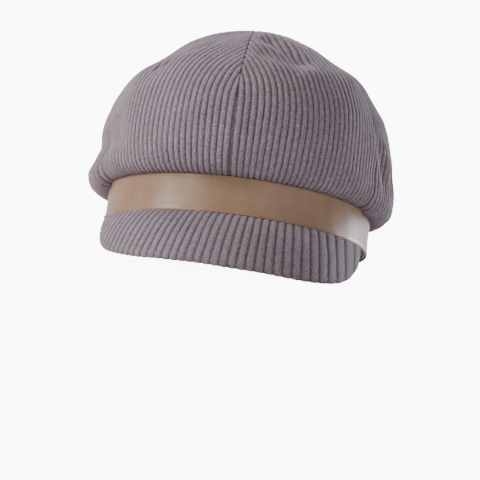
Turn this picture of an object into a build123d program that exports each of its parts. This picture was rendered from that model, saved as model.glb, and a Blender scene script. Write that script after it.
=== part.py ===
"""Newsboy cap: six corduroy gores on a leather band, a stiffened visor, a satin lining and a covered button.

The cap stands on its visor edge and the back of its band, as it would on a table, with its front at -Y and the
wearer's left at +X. The origin is the centre of the head opening, in the plane of the rim. Every piece is drawn
from RIM, the plane of the opening, which leans back so that the front of the rim is higher than the back.
Angles run round the opening: 0 at the front, 90 at the wearer's left, 180 at the back. Lengths are millimetres.
"""

from build123d import *
from math import atan2, cos, degrees, exp, hypot, pi, radians, sin
import os

# Head opening and band
RIM_TILT = 10.25  # degrees that the rim leans back, so that visor edge and band meet the table together
BAND_HALF_WIDTH = 88.0  # outside of the leather, across the head
BAND_HALF_LENGTH = 98.0  # outside of the leather, front to back
BAND_HEIGHT = 24.0
LEATHER = 1.3
INTERLINING = 0.9
INTERLINING_MARGIN = 1.0  # left free at the band's upper and lower edges
SWEATBAND = 1.0
SWEATBAND_HEIGHT = 30.0
LAYER_GAP = 0.06  # air between two sewn layers, so that their solids never touch
LAP_WIDTH = 15.0  # where the leather strip passes over its own end at the back
EDGE_ROUND = 0.4  # on the outer edges of the leather

# Crown
CROWN_HALF_WIDTH = 97.0  # at the seams, at the widest level
CROWN_HALF_LENGTH = 114.0
CROWN_TOP = 139.0  # apex above the rim, before the button pulls it in
WIDEST_SIDE, WIDEST_FRONT, WIDEST_BACK = 35.0, 60.0, 42.0  # height of the widest level
DOME_POWER = 2.06  # superellipse power of the dome above the widest level, where 2 is an ellipse
GORE_PUFF = 3.5  # how far a gore swells out between its seams
FOLD_POWER = 2.5  # superellipse power of the fold above the band
CORDUROY = 1.7
DIMPLE_DEPTH, DIMPLE_RADIUS = 3.5, 24.0  # hollow that the button makes
HUB_RADIUS = 3.0  # hole at the apex, where the button's tack passes
SEAM_GAP = 0.12  # degrees left free on each side of a seam
SEAMS = {  # first and last seam of each gore, in degrees round the opening
    "front_left": (0, 64),
    "side_left": (64, 118),
    "back_left": (118, 180),
    "back_right": (180, 242),
    "side_right": (242, 296),
    "front_right": (296, 360),
}
GORE_SECTIONS = 5
PROFILE_TURNS = (-89.8, -82, -70, -54, -36, -18, 0, 16, 32, 48, 62, 72, 79, 84)  # closer at both ends
TURN_STEP = 0.05  # degrees to each side, for a profile's slope

# Lining
LINING = 0.5
LINING_CLEARANCE = 4.0  # between the outside of the crown and the outside of the lining

# Visor
VISOR_HALF_ANGLE = 71.0  # from the front to a visor corner
VISOR_REACH, VISOR_SIDE_REACH = 31.0, 4.0  # how far it stands out, at the front and beside the head
VISOR_DROP = 36.5
VISOR_CORNER = 0.1  # the share of its reach and drop that is left at a corner
VISOR_FULLNESS, VISOR_FALLOFF = 3, 0.8  # powers that keep it full at the front and round it off at the corners
VISOR_BOW = 2.5  # how far its middle rises above a straight slope
VISOR_TOP = 1.0  # height of its inner edge above the rim
VISOR_COVER, VISOR_BOARD = 1.3, 1.2
BOARD_INSET = 0.5  # how far the board stops short of the under cover's edge
VISOR_THICKNESS = 2 * VISOR_COVER + VISOR_BOARD
VISOR_CLEARANCE = 1.6  # between the visor's inner edge and the band, so that it can flex
VISOR_TUCK = 6.0  # how far the sections run in under the band before they are trimmed
VISOR_SECTIONS = 13

# Button
BUTTON_RADIUS, BUTTON_HEIGHT = 11.0, 3.6
BUTTON_STANDOFF = 1.4  # from the crown's apex up to the button's rim
BUTTON_COVER, BUTTON_SHELL = 0.8, 0.6
SHELL_TUCK = 0.1  # how far the shell's rim lies below the cover's
TACK_RADIUS, TACK_HEAD_RADIUS, TACK_HEAD_THICKNESS = 1.2, 3.2, 0.5
TACK_END = 0.6  # free length at each end of the tack
WASHER_RADIUS, WASHER_THICKNESS = 7.0, 0.8
WASHER_HOLE_GAP, WASHER_LINING_GAP = 0.1, 0.5

# Stitches and labels
STITCH_RADIUS, STITCH_LENGTH = 0.3, 3.4
STITCH_COUNT, STITCH_HEIGHT = 96, 3.0  # round the foot of the sweatband
LAP_STITCHES, LAP_STITCH_FOOT, LAP_STITCH_PITCH = 4, 4.0, 5.0  # in each upright row
LAP_STITCH_MARGIN = 2.0  # from the end of the lap
LABEL_THICKNESS = 0.3
BACK_LABEL = (38.0, 17.0)  # width and height
BACK_LABEL_FOOT = 7.0

RIM = Plane(
    origin=(0, 0, 0),
    x_dir=(1, 0, 0),
    z_dir=(0, sin(radians(RIM_TILT)), cos(radians(RIM_TILT))),
)
UP = Axis(RIM.origin, RIM.z_dir)


def outward(angle):
    """Unit vector in the rim plane, pointing away from the centre at this angle."""
    return Vector(sin(radians(angle)), -cos(radians(angle)), 0)


def meridian(angle):
    """Upright plane through the opening's centre: local x runs outward and local y runs up."""
    out = outward(angle)
    plane = Plane(origin=(0, 0, 0), x_dir=out, z_dir=out.cross(Vector(0, 0, 1)))
    return Plane(RIM.location * plane.location)


def oval_radius(half_width, half_length, angle):
    """Distance from the centre of an ellipse to its edge at this angle."""
    across, along = sin(radians(angle)) / half_width, cos(radians(angle)) / half_length
    return 1 / hypot(across, along)


def band_radius(angle):
    return oval_radius(BAND_HALF_WIDTH, BAND_HALF_LENGTH, angle)


def widest_height(angle):
    """Height of the crown's widest level, which is highest at the front."""
    along = cos(radians(angle))
    end = WIDEST_FRONT if along > 0 else WIDEST_BACK
    return WIDEST_SIDE + (end - WIDEST_SIDE) * along**2


def save(piece, name):
    """Labels a finished piece and writes its STEP file."""
    piece.part.label = name
    export_step(piece.part, f"parts/{name}.step")


# Crown and lining: each gore is lofted through upright profiles, like a segment of an orange


def crown_point(angle, puff, turn, inset, foot_inset, foot_height):
    """Point (radius, height) of a crown profile; turn is -90 at the foot, 0 at the widest level and 90 at the top."""
    foot = band_radius(angle) - foot_inset
    wide = oval_radius(CROWN_HALF_WIDTH, CROWN_HALF_LENGTH, angle) + puff - inset
    level = widest_height(angle)
    c, s = cos(radians(turn)), abs(sin(radians(turn)))
    if turn < 0:
        radius = foot + (wide - foot) * c ** (2 / FOLD_POWER)
        return radius, level - (level - foot_height) * s ** (2 / FOLD_POWER)
    radius = wide * c ** (2 / DOME_POWER)
    dimple = DIMPLE_DEPTH * exp(-((radius / DIMPLE_RADIUS) ** 2))
    return radius, level + (CROWN_TOP - inset - level) * s ** (2 / DOME_POWER) - dimple


def crown_line(angle, puff, depth, inset, foot_inset, foot_height):
    """Points of one profile line, moved in by depth along its own normal."""
    wide = oval_radius(CROWN_HALF_WIDTH, CROWN_HALF_LENGTH, angle) + puff - inset
    top_turn = 90 - degrees(HUB_RADIUS / wide)
    points = []
    for turn in (*PROFILE_TURNS, top_turn):
        shape = (inset, foot_inset, foot_height)
        here = crown_point(angle, puff, turn, *shape)
        before = crown_point(angle, puff, turn - TURN_STEP, *shape)
        after = crown_point(angle, puff, turn + TURN_STEP, *shape)
        run, rise = after[0] - before[0], after[1] - before[1]
        length = hypot(run, rise)
        points.append((here[0] - depth * rise / length, here[1] + depth * run / length))
    return points


def gore(seams, thickness, inset, foot_inset, foot_height):
    """One segment of a domed shell between two seams."""
    first, last = seams[0] + SEAM_GAP, seams[1] - SEAM_GAP
    with BuildPart() as segment:
        for section in range(GORE_SECTIONS):
            share = section / (GORE_SECTIONS - 1)
            angle = first + (last - first) * share
            puff = GORE_PUFF * sin(pi * share)
            shape = (inset, foot_inset, foot_height)
            with BuildSketch(meridian(angle)):
                with BuildLine():
                    outside = Spline(*crown_line(angle, puff, 0, *shape))
                    inside = Spline(*crown_line(angle, puff, thickness, *shape))
                    Line(outside @ 0, inside @ 0)
                    Line(outside @ 1, inside @ 1)
                make_face()
        loft()
    return segment


# Band: leather outside, woven interlining, sweatband inside


def oval_ring(outer_inset, thickness, foot, height):
    """Upright band that follows the head opening, outer_inset inside the leather's outer face."""
    with BuildPart() as ring:
        with BuildSketch(RIM.offset(foot)):
            Ellipse(BAND_HALF_WIDTH - outer_inset, BAND_HALF_LENGTH - outer_inset)
            depth = outer_inset + thickness
            Ellipse(BAND_HALF_WIDTH - depth, BAND_HALF_LENGTH - depth, mode=Mode.SUBTRACT)
        extrude(amount=height)
    return ring


def band_patch(outer_inset, thickness, foot, width, height):
    """Flat strip bent to the band at the back of the cap."""
    with BuildPart() as patch:
        with BuildSketch(RIM.offset(foot)):
            Ellipse(BAND_HALF_WIDTH - outer_inset, BAND_HALF_LENGTH - outer_inset)
            depth = outer_inset + thickness
            Ellipse(BAND_HALF_WIDTH - depth, BAND_HALF_LENGTH - depth, mode=Mode.SUBTRACT)
            with Locations((0, BAND_HALF_LENGTH - depth)):
                Rectangle(width, BAND_HALF_LENGTH, mode=Mode.INTERSECT)
        extrude(amount=height)
    return patch


# Visor: each layer is lofted through upright sections from one corner to the other, then trimmed to the band


def visor_taper(angle):
    """1 at the front, falling smoothly to VISOR_CORNER at the corners."""
    return max(VISOR_CORNER, (1 - (abs(angle) / VISOR_HALF_ANGLE) ** VISOR_FULLNESS) ** VISOR_FALLOFF)


def visor_axes(angle):
    """Inner end, slope length and unit slope of the visor's top line at this angle."""
    reach = VISOR_SIDE_REACH + (VISOR_REACH - VISOR_SIDE_REACH) * cos(radians(angle)) ** 2
    run = reach * visor_taper(angle)
    fall = VISOR_DROP * visor_taper(angle) + VISOR_TOP
    length = hypot(run, fall)
    return (band_radius(angle) + VISOR_CLEARANCE, VISOR_TOP), length, (run / length, -fall / length)


def visor_mark(angle, along, depth):
    """Point (radius, height) at a distance along the slope and a depth below the visor's top face."""
    (radius, height), length, (run, fall) = visor_axes(angle)
    share = along / length
    rise = VISOR_BOW * visor_taper(angle) * 4 * share * (1 - share) - depth
    return radius + along * run - rise * fall, height + along * fall + rise * run


def visor_curve(angle, start, end, depth):
    """Gently bowed line between two distances along the slope."""
    marks = [visor_mark(angle, start + (end - start) * share, depth) for share in (0, 0.35, 0.7, 1)]
    return Spline(*marks)


def visor_layer(top, bottom, edge_inset, lip):
    """A layer of the visor between two depths. With a lip, it also turns down over the outer edge."""
    with BuildPart() as layer:
        for section in range(VISOR_SECTIONS):
            angle = VISOR_HALF_ANGLE * (2 * section / (VISOR_SECTIONS - 1) - 1)
            length = visor_axes(angle)[1] - edge_inset
            with BuildSketch(meridian(angle)):
                with BuildLine():
                    upper = visor_curve(angle, -VISOR_TUCK, length, top)
                    if lip:
                        inner_end = length - VISOR_COVER
                        lower = visor_curve(angle, -VISOR_TUCK, inner_end, bottom)
                        corner = visor_mark(angle, length, VISOR_THICKNESS)
                        heel = visor_mark(angle, inner_end, VISOR_THICKNESS)
                        Polyline(upper @ 1, corner, heel, lower @ 1)
                    else:
                        lower = visor_curve(angle, -VISOR_TUCK, length, bottom)
                        Line(upper @ 1, lower @ 1)
                    Line(upper @ 0, lower @ 0)
                make_face()
        loft()
        with BuildSketch(RIM.offset(-VISOR_DROP)):
            Ellipse(BAND_HALF_WIDTH + VISOR_CLEARANCE, BAND_HALF_LENGTH + VISOR_CLEARANCE)
        extrude(amount=2 * VISOR_DROP, mode=Mode.SUBTRACT)
    return layer


# Button: a fabric-covered shell held by a tack through the apex


def dome_shell(radius, height, thickness, foot):
    """Round cap of uniform thickness, open below, standing on the crown's axis."""
    bend = (radius**2 + height**2) / (2 * height)
    with BuildPart() as shell:
        with BuildSketch(meridian(0)):
            with BuildLine():
                crest = (0, foot + height)
                rim = (radius, foot)
                lean = atan2(radius, bend - height) / 2
                shoulder = (bend * sin(lean), foot + height - bend * (1 - cos(lean)))
                outside = ThreePointArc(crest, shoulder, rim)
                inner_bend = bend - thickness
                inner_shoulder = (inner_bend * sin(lean), foot + height - bend + inner_bend * cos(lean))
                inner_rim = (radius - thickness * radius / bend, foot + thickness * (height - bend) / bend)
                inside = ThreePointArc((0, foot + height - thickness), inner_shoulder, inner_rim)
                Line(outside @ 0, inside @ 0)
                Line(outside @ 1, inside @ 1)
            make_face()
        revolve(axis=UP)
    return shell


def tack(foot, length, head_radius, head_thickness):
    """Pin with a flat head at its top."""
    with BuildPart(RIM.offset(foot)) as pin:
        Cylinder(TACK_RADIUS, length, align=(Align.CENTER, Align.CENTER, Align.MIN))
        with Locations((0, 0, length - head_thickness)):
            Cylinder(head_radius, head_thickness, align=(Align.CENTER, Align.CENTER, Align.MIN))
    return pin


# Stitches


def stitch_row(places):
    """Separate short thread lengths, each lying along its location's local x."""
    with BuildPart() as row:
        with Locations(*places):
            Cylinder(STITCH_RADIUS, STITCH_LENGTH, rotation=(0, 90, 0))
    return row


def sweatband_stitch_places():
    """Round the inside of the sweatband, near its foot."""
    inset = LEATHER + INTERLINING + SWEATBAND + 2 * LAYER_GAP + STITCH_RADIUS + LAYER_GAP
    width, length = BAND_HALF_WIDTH - inset, BAND_HALF_LENGTH - inset
    places = []
    for number in range(STITCH_COUNT):
        turn = 2 * pi * (number + 0.5) / STITCH_COUNT
        point = RIM.from_local_coords((width * sin(turn), -length * cos(turn), STITCH_HEIGHT))
        along = RIM.from_local_coords((width * cos(turn), length * sin(turn), 0)) - RIM.origin
        places.append(Plane(origin=point, x_dir=along, z_dir=RIM.z_dir).location)
    return places


def lap_stitch_places():
    """Two upright rows through the lapped leather at the back."""
    depth = BAND_HALF_LENGTH + LEATHER + STITCH_RADIUS + LAYER_GAP
    places = []
    for side in (-1, 1):
        for number in range(LAP_STITCHES):
            height = LAP_STITCH_FOOT + LAP_STITCH_PITCH * number
            point = RIM.from_local_coords((side * (LAP_WIDTH / 2 - LAP_STITCH_MARGIN), depth, height))
            places.append(Plane(origin=point, x_dir=RIM.z_dir, z_dir=RIM.y_dir).location)
    return places


os.makedirs("parts", exist_ok=True)

# Crown and lining
crown_foot = BAND_HEIGHT + 2 * LAYER_GAP
lining_foot = SWEATBAND_HEIGHT + LAYER_GAP
lining_foot_inset = LEATHER + INTERLINING + 2 * LAYER_GAP
for place, seams in SEAMS.items():
    save(gore(seams, CORDUROY, 0, LEATHER, crown_foot), f"crown_{place}")
    save(gore(seams, LINING, LINING_CLEARANCE, lining_foot_inset, lining_foot), f"lining_{place}")

# Band
with BuildPart() as leather_band:
    with BuildSketch(RIM):
        Ellipse(BAND_HALF_WIDTH + LEATHER, BAND_HALF_LENGTH + LEATHER)
        with Locations((0, BAND_HALF_LENGTH)):
            Rectangle(LAP_WIDTH, BAND_HALF_LENGTH, mode=Mode.INTERSECT)
        Ellipse(BAND_HALF_WIDTH, BAND_HALF_LENGTH)
        Ellipse(BAND_HALF_WIDTH - LEATHER, BAND_HALF_LENGTH - LEATHER, mode=Mode.SUBTRACT)
    extrude(amount=BAND_HEIGHT)
    outer_face = leather_band.faces().sort_by(SortBy.AREA)[-1]
    fillet(outer_face.edges().filter_by(GeomType.ELLIPSE), radius=EDGE_ROUND)
save(leather_band, "leather_band")

interlining_inset = LEATHER + LAYER_GAP
interlining_height = BAND_HEIGHT - 2 * INTERLINING_MARGIN
save(oval_ring(interlining_inset, INTERLINING, INTERLINING_MARGIN, interlining_height), "band_interlining")
sweatband_inset = interlining_inset + INTERLINING + LAYER_GAP
save(oval_ring(sweatband_inset, SWEATBAND, 0, SWEATBAND_HEIGHT), "sweatband")

# Visor
board_top = VISOR_COVER + LAYER_GAP
board_bottom = VISOR_COVER + VISOR_BOARD - LAYER_GAP
under_inset = VISOR_COVER + LAYER_GAP
save(visor_layer(0, VISOR_COVER, 0, True), "visor_top_cover")
save(visor_layer(board_top, board_bottom, under_inset + BOARD_INSET, False), "visor_board")
save(visor_layer(VISOR_COVER + VISOR_BOARD, VISOR_THICKNESS, under_inset, False), "visor_under_cover")

# Button
apex = CROWN_TOP - DIMPLE_DEPTH
button_foot = apex + BUTTON_STANDOFF
save(dome_shell(BUTTON_RADIUS, BUTTON_HEIGHT, BUTTON_COVER, button_foot), "button_cover")
shell_drop = BUTTON_COVER + LAYER_GAP
shell_radius = BUTTON_RADIUS - 2 * BUTTON_COVER
shell_foot = button_foot - SHELL_TUCK
save(dome_shell(shell_radius, BUTTON_HEIGHT - shell_drop, BUTTON_SHELL, shell_foot), "button_shell")
tack_top = button_foot + BUTTON_HEIGHT - BUTTON_COVER - BUTTON_SHELL - TACK_END
washer_top = apex - LINING_CLEARANCE - LINING - WASHER_LINING_GAP
tack_foot = washer_top - WASHER_THICKNESS - TACK_END
save(tack(tack_foot, tack_top - tack_foot, TACK_HEAD_RADIUS, TACK_HEAD_THICKNESS), "button_tack")
with BuildPart(RIM.offset(washer_top - WASHER_THICKNESS)) as button_washer:
    Cylinder(WASHER_RADIUS, WASHER_THICKNESS, align=(Align.CENTER, Align.CENTER, Align.MIN))
    Cylinder(TACK_RADIUS + WASHER_HOLE_GAP, 3 * WASHER_THICKNESS, mode=Mode.SUBTRACT)
save(button_washer, "button_washer")

# Stitches and labels
save(stitch_row(sweatband_stitch_places()), "sweatband_stitches")
save(stitch_row(lap_stitch_places()), "band_lap_stitches")
label_inset = sweatband_inset + SWEATBAND + LAYER_GAP
save(band_patch(label_inset, LABEL_THICKNESS, BACK_LABEL_FOOT, *BACK_LABEL), "back_label")
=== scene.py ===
"""Looks of the newsboy cap: corduroy crown and visor, leather band, lining, sweatband, button and label.

Shapes are worked out in millimetres in the rim frame (rim plane at z = 0, front at -Y, wearer's left at +X),
then turned by the rim's tilt and scaled into the row frame. Angles run round the opening from the front.
"""

import itertools
import math

import bpy
import numpy as np
from mathutils import Matrix, Vector, noise


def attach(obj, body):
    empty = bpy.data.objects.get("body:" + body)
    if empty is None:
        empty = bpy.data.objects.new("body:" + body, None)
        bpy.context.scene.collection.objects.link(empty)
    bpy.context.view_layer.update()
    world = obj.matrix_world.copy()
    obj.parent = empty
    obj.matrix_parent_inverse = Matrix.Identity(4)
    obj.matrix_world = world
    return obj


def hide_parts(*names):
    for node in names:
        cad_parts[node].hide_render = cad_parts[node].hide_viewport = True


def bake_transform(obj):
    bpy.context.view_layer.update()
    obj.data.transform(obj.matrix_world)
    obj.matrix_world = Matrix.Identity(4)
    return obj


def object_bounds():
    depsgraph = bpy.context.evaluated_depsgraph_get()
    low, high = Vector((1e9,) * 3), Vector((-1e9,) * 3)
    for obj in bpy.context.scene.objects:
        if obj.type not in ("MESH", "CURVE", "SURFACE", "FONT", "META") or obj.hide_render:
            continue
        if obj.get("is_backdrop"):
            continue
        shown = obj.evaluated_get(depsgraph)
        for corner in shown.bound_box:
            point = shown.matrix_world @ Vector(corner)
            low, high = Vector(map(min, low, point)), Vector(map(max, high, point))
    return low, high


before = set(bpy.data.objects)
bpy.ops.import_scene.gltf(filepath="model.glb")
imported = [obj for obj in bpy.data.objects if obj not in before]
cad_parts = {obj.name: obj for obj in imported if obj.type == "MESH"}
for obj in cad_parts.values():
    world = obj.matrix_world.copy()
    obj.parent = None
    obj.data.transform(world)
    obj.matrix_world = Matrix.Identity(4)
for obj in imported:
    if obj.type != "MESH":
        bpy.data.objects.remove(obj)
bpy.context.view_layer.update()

MM = 0.001
TINY = 1e-12
SEED_STEP = 7.31  # distance between the noises of two seeds
RIM_TILT = math.radians(10.25)
RIM_TURN = Matrix.Rotation(-RIM_TILT, 3, "X")

# Band and opening, as in the CAD
BAND_X, BAND_Y, BAND_HEIGHT = 88.0, 98.0, 24.0
LEATHER, LEATHER_EDGE = 1.3, 0.6
LEATHER_TUCK = 0.4  # how far the leather goes up under the crown's fold
LEATHER_CUP, LEATHER_TURNED = 0.5, 0.1  # how far its middle is pulled in, and its turned edge stands out
LEATHER_RIPPLES = (0.35, 30.0, 11), (0.12, 9.0, 12)
LAP_HALF_ANGLE, LAP_MARGIN = 4.4, 0.2
SWEATBAND_INSET, SWEATBAND, SWEATBAND_HEIGHT = 2.3, 1.0, 30.0
SWEATBAND_EDGE, SWEATBAND_LIFT = 0.45, 0.2  # rounding of its edges, and height of its foot above the rim
SWEATBAND_RIPPLES = ((0.35, 12.0, 21),)
BUCKRAM, BUCKRAM_EDGE, BUCKRAM_GAP, BUCKRAM_MARGIN = 0.75, 0.3, 0.15, 1.0
BUCKRAM_RIPPLES = ((0.1, 9.0, 13),)

# Crown
CROWN_X, CROWN_Y, CROWN_TOP = 97.0, 114.0, 139.0
WIDEST_SIDE, WIDEST_FRONT, WIDEST_BACK = 35.0, 60.0, 42.0
DOME_POWER, FOLD_POWER = 2.06, 2.4
FRONT_PUFF, SIDE_PUFF = 1.5, 3.8  # how far a gore swells out between its seams
GORE_ROWS, PROFILE_STEPS = 150, 2000
GORE_TUCK, GORE_FOOT = 0.9, 0.3  # how far a gore's foot sits inside the leather and above its top
SEAM_GAP = 0.05  # half the gap between two gores, in degrees
SEAM_ROLL, SEAM_ROLL_DEPTH = 1.5, 0.7  # width and depth of the cloth's roll into a seam
# Painted shade: the pile's tone is darkened in a seam's roll and along a gore's foot under the crown's fold.
SEAM_ROLL_SHADE, FOOT_SHADE = 0.5, 0.45
FRONT_GRAIN = 0.62  # share across a front gore of the wale that stays upright
HUB_RADIUS = 3.0
FOOT_TURN = 89.9  # degrees below the widest level at which a gore's profile starts
DIMPLE_DEPTH, DIMPLE_RADIUS = 3.5, 24.0
FRONT_RIDGE, FRONT_RIDGE_ANGLE = 2.4, 7.5  # the front seam stands proud
CORDUROY = 1.5
LINING, LINING_INSET, LINING_TUCK, LINING_PUFF = 0.5, 4.0, 2.5, 2.5
LINING_SEAM_GAP, LINING_LIFT = 0.1, 0.1  # half the gap at a seam in degrees, and height above the sweatband
LINING_RIPPLES = ((0.9, 11.0, 8),)
SEAMS = {
    "front_left": (0, 64),
    "side_left": (64, 118),
    "back_left": (118, 180),
    "back_right": (180, 242),
    "side_right": (242, 296),
    "front_right": (296, 360),
}

# Worn shape of the crown, in millimetres. Ripples are the amount, size and seed of smooth noise. A hump
# beside the head is its push on the wearer's right and left, the centre and spread of its heights, and the
# distances from the middle between which it sets in.
CROWN_RIPPLES = (0.9, 34.0, 1), (0.45, 15.0, 2)
RIPPLES_START, RIPPLES_END = (24, 40), (128, 138)
RIGHT_TO_LEFT = -30, 30
SHOULDER = (2.2, 2.4), (92, 21), (45, 75)
WAIST = (-2.6, -0.8), (50, 10), (66, 86)
LOBE = (4.4, -0.2), (27, 8.5), (60, 90)
LOBE_DROP = 3.4  # how far the lobe on the wearer's left hangs down
HIGH_LEFT, HIGH_LEFT_SIDE, HIGH_LEFT_HEIGHTS = 5.0, (68, 17), (111, 14)
LOW_TOP, LOW_TOP_RIGHT, LOW_TOP_SIDE, LOW_TOP_HEIGHTS = 2.3, 2.2, (-62, 24), (110, 15)
GATHERS, GATHERS_STRETCH = (1.0, 8.0, 5), (1, 1, 0.35)
GATHERS_SIDE, GATHERS_START, GATHERS_END = (80, 94), (25, 32), (55, 100)
LIP_DISTANCE, LIP_SHARE = 1.6, 0.35  # raised lips of a crease, as shares of its width and depth

# Corduroy
WALE_PITCH, WALE_HEIGHT, WALE_POWER = 4.25, 1.0, 2.8
WALE_DRIFT = (0.22, 14.0, 3), (0.2, 3.6, 6)
WALE_WEAR = ((0.2, 5.0, 4),)
COLUMNS_PER_WALE = 8
# Shares of a gore's height over which its wales begin to run off into the seams, and do so more in a swell
RUN_OFF, RUN_OFF_SWELL, SWELL_START, SWELL_END = (0.18, 0.45), 0.3, (0.4, 0.55), (0.6, 0.85)

# Visor
VISOR_HALF_ANGLE = 71.0
VISOR_REACH, VISOR_SIDE_REACH = 31.0, 4.0
VISOR_DROP, VISOR_CORNER = 36.5, 0.04
VISOR_BOW, VISOR_TOP, VISOR_THICKNESS = 2.5, 1.0, 3.8
VISOR_CLEARANCE, CLEARANCE_START = 1.6, (-1, 9)  # gap to the band, and degrees from the corner where it opens
VISOR_OFF_GRAIN = 9.0  # the visor's wales are cut a little across the cap's middle line
VISOR_FAN = 0.8
VISOR_SLANT = 0.032  # the worn visor hangs a little lower on the wearer's left
CORNER_THICKNESS, CORNER_THINNING = 0.25, (0, 10)
SEAM_TUCK, SEAM_TUCK_DEPTH, SEAM_TUCK_DROP = (-0.05, 0.07), 0.8, 1.0  # shares of the slope, then millimetres
COVER_END = 0.86  # share of the slope at which the rolled cover ends under the visor
COVER_RIPPLES = ((0.5, 26.0, 31),)
COVER_PILE, ROLLED_PILE = 0.82, 0.37  # share of the pile's full height on top and on the rolled edge
COVER_CLOTH, ROLLED_CLOTH = 1.3, 1.075
PILE_FLOOR, VISOR_SEAM_SHADE, VISOR_TOP_SHADE = 0.18, 0.38, 0.74  # tone in a groove, then painted shade at the seam under the band and over the visor's whole top
FACING, FACING_MARGIN, FACING_END, FACING_GAP, FACING_PILE = 1.1, 1.0, 0.9, 0.15, 0.6
BOARD_MARGIN, BOARD_SPAN, BOARD_DEPTHS = 5.0, (0.09, 0.9), (2.6, 1.95)

# Button; its underside is given by shares of its radius and heights from the foot of its dome
BUTTON_RADIUS, BUTTON_HEIGHT, BUTTON_STANDOFF, BUTTON_POWER = 11.0, 3.4, 1.5, 2.4
BUTTON_WALES, BUTTON_GATHERS, GATHER_DEPTH = 0.7, 22, 0.012
BUTTON_UNDERSIDE = (
    (1.015, -0.35),
    (0.97, -0.7),
    (0.86, -0.75),
    (0.7, -0.7),
    (0.5, -0.6),
    (0.2, -0.55),
    (0.03, -0.5),
)

# Stitches
STITCH_COUNT, STITCH_HEIGHT = 96, 3.0
STITCH_LENGTH, THREAD_RADIUS = 3.4, 0.3
THREAD_BOW, THREAD_TAPER = 0.24, 0.35
STITCH_GAP, LAP_STITCH_GAP = 0.2, 0.15
LAP_STITCH_SIDE, LAP_STITCH_HEIGHTS = 5.5, (4.0, 9.0, 14.0, 19.0)

# Label
LABEL_HALF_WIDTH, LABEL_FOOT, LABEL_HEIGHT, LABEL_GAP = 19.0, 7.0, 17.0, 0.15
LABEL_CLOTH, LABEL_FOLD, LABEL_BULGE = 0.35, 0.3, 0.25

# Stage
BACKDROP = 9.0  # brightness of floor and backdrop to the camera alone
WORLD_LIGHT = 0.37
FLOOR_SIDE = 4.0
FLOOR_CURVE = (-3.0, 0.0), (1.2, 0.0), (1.6, 0.06), (1.85, 0.3), (1.95, 0.8), (2.0, 3.0)  # back, up
LIGHT_TARGET = 0, 0, 0.06
LIGHTS = (  # name, power, size, position and colour
    ("key", 36, 0.7, (-1.5, -0.6, 1.0), (1, 1, 1)),
    ("top", 20, 0.4, (-1.1, 0.9, 1.3), (0.88, 0.93, 1.0)),
    ("window", 3.5, 0.3, (-1.0, -1.15, 0.4), (1, 1, 1)),
    ("fill", 5, 1.2, (1.1, -1.3, 0.1), (1, 1, 1)),
    ("rim", 27, 0.4, (1.0, 1.15, 0.42), (0.84, 0.9, 1.0)),
)
CAMERA_TURNS = 5.2, -9.5, 7.3  # azimuth, elevation and roll in the rim frame, in degrees
CAMERA_DISTANCE, CAMERA_FIELD = 1.5, 0.2133  # metres, and the width seen per metre of distance
CAMERA_SHIFT = 0.0096, 0.0023


def oval_radius(half_x, half_y, angle):
    """Distance from the centre of an ellipse to its edge, for an array of angles in degrees."""
    turn = np.radians(angle)
    return 1 / np.hypot(np.sin(turn) / half_x, np.cos(turn) / half_y)


def place(radius, angle, height):
    """Rim-frame points from polar ones, stacked along the last axis."""
    turn = np.radians(angle)
    return np.stack([radius * np.sin(turn), -radius * np.cos(turn), height * np.ones_like(turn)], -1)


def smooth(values, low, high):
    """Smooth step from 0 at low to 1 at high."""
    share = np.clip((values - low) / (high - low), 0, 1)
    return share * share * (3 - 2 * share)


def bump(values, centre, width):
    """Smooth hump of height 1."""
    return np.exp(-(((values - centre) / width) ** 2))


def noise_at(points, size, seed):
    """Smooth noise in about -1..1 for an (..., 3) array of points."""
    flat = points.reshape(-1, 3) / size + seed * SEED_STEP
    values = np.fromiter((noise.noise(Vector(p)) for p in flat), float, len(flat))
    return values.reshape(points.shape[:-1])


def ripples(points, waves):
    """Sum of smooth noises, each given by its amount, size and seed."""
    return sum(amount * noise_at(points, size, seed) for amount, size, seed in waves)


def grid_normals(grid):
    """Unit normals of a (rows, columns, 3) grid."""
    normals = np.cross(np.gradient(grid, axis=1), np.gradient(grid, axis=0))
    return normals / (np.linalg.norm(normals, axis=-1, keepdims=True) + TINY)


# Meshes


def grid_faces(rows, columns, start=0, flip=False, wrap=False):
    """Quads of a grid of points numbered row by row."""
    row = np.arange(rows - 1)[:, None]
    column = np.arange(columns if wrap else columns - 1)[None, :]
    following = (column + 1) % columns
    corners = [row * columns + column, row * columns + following]
    corners += [(row + 1) * columns + following, (row + 1) * columns + column]
    quads = np.stack([c + start for c in np.broadcast_arrays(*corners)], -1).reshape(-1, 4)
    return quads[:, ::-1] if flip else quads


def make_mesh(name, points, faces, body, replaces, material, fields=None):
    """A smooth mesh in the row frame, from rim-frame points in millimetres."""
    turned = points.reshape(-1, 3) @ np.array(RIM_TURN).T * MM
    mesh = bpy.data.meshes.new(name)
    mesh.from_pydata(turned.tolist(), [], [list(map(int, face)) for face in faces])
    mesh.validate()
    mesh.polygons.foreach_set("use_smooth", np.ones(len(mesh.polygons), bool))
    for field, values in (fields or {}).items():
        layer = mesh.attributes.new(field, "FLOAT", "POINT")
        layer.data.foreach_set("value", np.asarray(values, np.float32).ravel())
    mesh.materials.append(material)
    obj = bpy.data.objects.new(name, mesh)
    bpy.context.scene.collection.objects.link(obj)
    if body:
        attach(obj, body)
    if replaces:
        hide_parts(*replaces)
    return obj


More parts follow.
